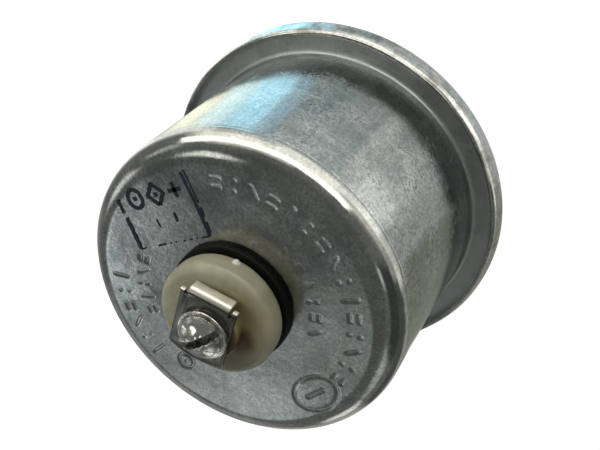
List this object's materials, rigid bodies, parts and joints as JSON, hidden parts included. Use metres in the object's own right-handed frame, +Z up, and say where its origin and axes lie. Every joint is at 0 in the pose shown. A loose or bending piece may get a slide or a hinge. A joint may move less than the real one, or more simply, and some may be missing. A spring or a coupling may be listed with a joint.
{
  "type": "oil pressure sender",
  "caption": "Rheostat pressure sender: round crimped metal can on a hexagonal threaded fitting, with a screw terminal on a moulded insulator.",
  "frame": {"origin": "on the can's axis, in the plane where the threaded stub meets the underside of the hexagon", "axes": "+Z up the axis from the threaded stub towards the terminal, +Y towards the bent lug of the terminal plate, +X completes the right-handed frame"},
  "size_m": [0.0714, 0.0714, 0.0822],
  "materials": {
    "zinc_can": "zinc-plated sheet steel, satin, mottled",
    "zinc_base": "zinc-plated sheet steel, satin",
    "fitting_steel": "turned steel, zinc plated",
    "brass": "turned brass, dull",
    "bronze_strip": "rolled phosphor bronze",
    "black_rubber": "black rubber, satin",
    "mechanism_steel": "pressed steel, bright",
    "spring_steel": "drawn spring wire",
    "silver": "silver contact, polished",
    "laminate": "paper laminate, brown",
    "resistance_wire": "fine resistance wire, close wound",
    "nylon": "moulded nylon, cream, slightly translucent",
    "fibre": "vulcanised fibre, dark red",
    "tinned_plate": "tinned sheet, smooth",
    "screw_plating": "nickel-plated steel, worn"
  },
  "bodies": {
    "root": {"cover_can": "zinc_can", "base_dish": "zinc_base", "hex_fitting": "fitting_steel", "restrictor_plug": "brass", "crimp_gasket": "black_rubber", "diaphragm": "bronze_strip", "support_plate": "mechanism_steel", "mechanism_bracket": "mechanism_steel", "bridge_rivets": "mechanism_steel", "rocker_axle": "mechanism_steel", "wiper_axle": "mechanism_steel", "return_spring": "spring_steel", "rheostat_former": "laminate", "resistance_winding": "resistance_wire", "rheostat_holder": "laminate", "holder_rivets": "brass", "track_rivets": "brass", "contact_strip": "bronze_strip", "terminal_bush": "brass", "inner_insulator": "fibre", "rubber_washer": "black_rubber", "terminal_insulator": "nylon", "terminal_plate": "tinned_plate"},
    "pusher": {"pusher": "mechanism_steel"},
    "rocker": {"rocker_lever": "mechanism_steel", "adjusting_screws": "mechanism_steel", "lock_nuts": "brass"},
    "wiper": {"wiper_hub": "brass", "wiper_arm": "bronze_strip", "wiper_contact": "silver"},
    "terminal_washer": {"screw_washer": "screw_plating"},
    "terminal_screw": {"terminal_screw": "screw_plating"}
  },
  "joints": [
    {"name": "pusher_slide", "type": "slide", "parent": "root", "child": "pusher", "axis": [0, 0, 1], "range_m": [0, 0.0012], "stiffness_N_per_m": 500, "deforming": ["diaphragm"]},
    {"name": "rocker_turn", "type": "hinge", "parent": "root", "child": "rocker", "pos_m": [-0.006, 0, 0.024], "axis": [0, -1, 0], "range_deg": [0, 11.5]},
    {"name": "wiper_swing", "type": "hinge", "parent": "root", "child": "wiper", "pos_m": [-0.0105, 0, 0.0346], "axis": [0, 1, 0], "range_deg": [0, 35.3], "deforming": ["return_spring"]},
    {"name": "washer_lift", "type": "slide", "parent": "root", "child": "terminal_washer", "axis": [0, 0, 1], "range_m": [0, 0.0032]},
    {"name": "terminal_screw_turn", "type": "hinge", "parent": "terminal_washer", "child": "terminal_screw", "pos_m": [0, 0, 0.0667], "axis": [0, 0, 1], "range_deg": [0, 1442]}
  ],
  "couplings": [
    {"joint": "rocker_turn", "follows": "pusher_slide", "rad_per_m": 166.67},
    {"joint": "wiper_swing", "follows": "pusher_slide", "rad_per_m": 512.82},
    {"joint": "terminal_screw_turn", "follows": "washer_lift", "rad_per_m": 7854}
  ]
}
